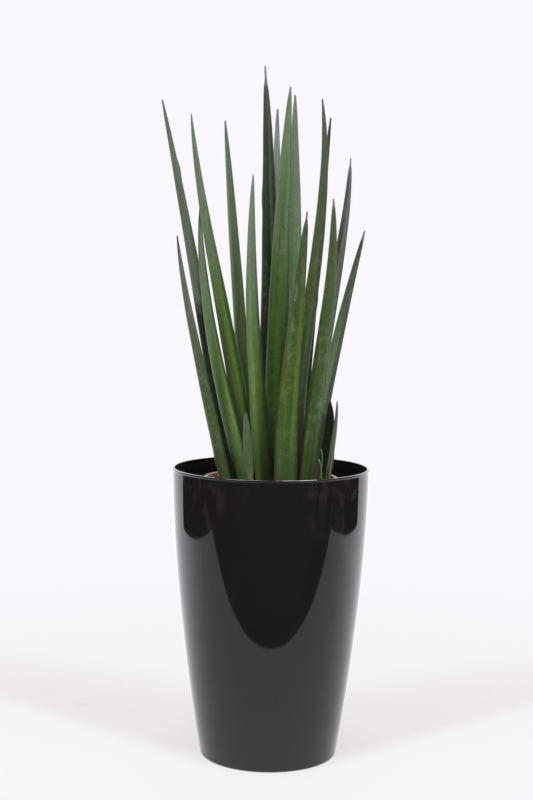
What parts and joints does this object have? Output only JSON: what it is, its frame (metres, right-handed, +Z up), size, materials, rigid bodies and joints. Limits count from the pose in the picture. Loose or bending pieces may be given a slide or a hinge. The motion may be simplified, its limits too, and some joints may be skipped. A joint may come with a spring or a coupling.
{
  "type": "potted snake plant",
  "caption": "Upright clump of stiff, pointed snake plant leaves in a nursery pot, standing inside a tall round tapered planter.",
  "frame": {"origin": "centre of the planter's flat underside", "axes": "+Z up along the planter's axis, -Y towards the side the plant is seen from, +X to the right of that view"},
  "size_m": [0.3118, 0.2916, 1.021],
  "materials": {
    "planter_gloss": "gloss",
    "riser_plastic": "satin",
    "grow_pot_plastic": "matte",
    "soil": "matte",
    "leaf_green": "satin",
    "leaf_grey_green": "satin",
    "leaf_dark_green": "satin",
    "pup_pale": "satin",
    "pup_dark": "satin",
    "pup_grey": "satin",
    "dry_scale": "matte"
  },
  "bodies": {
    "root": {"planter": "planter_gloss", "riser_pot": "riser_plastic", "grow_pot": "grow_pot_plastic", "soil": "soil", "leaf_01": "leaf_grey_green", "leaf_02": "leaf_grey_green", "leaf_03": "leaf_grey_green", "leaf_04": "leaf_green", "leaf_05": "leaf_grey_green", "leaf_06": "leaf_green", "leaf_07": "leaf_dark_green", "leaf_08": "leaf_grey_green", "leaf_09": "leaf_green", "leaf_10": "leaf_grey_green", "leaf_11": "leaf_green", "leaf_12": "leaf_green", "leaf_13": "leaf_dark_green", "leaf_14": "leaf_grey_green", "leaf_15": "leaf_green", "leaf_16": "leaf_green", "pup_leaf_pale": "pup_pale", "pup_leaf_dark": "pup_dark", "pup_leaf_grey": "pup_grey", "pup_scale_front": "dry_scale", "pup_scale_back": "dry_scale"}
  },
  "joints": []
}
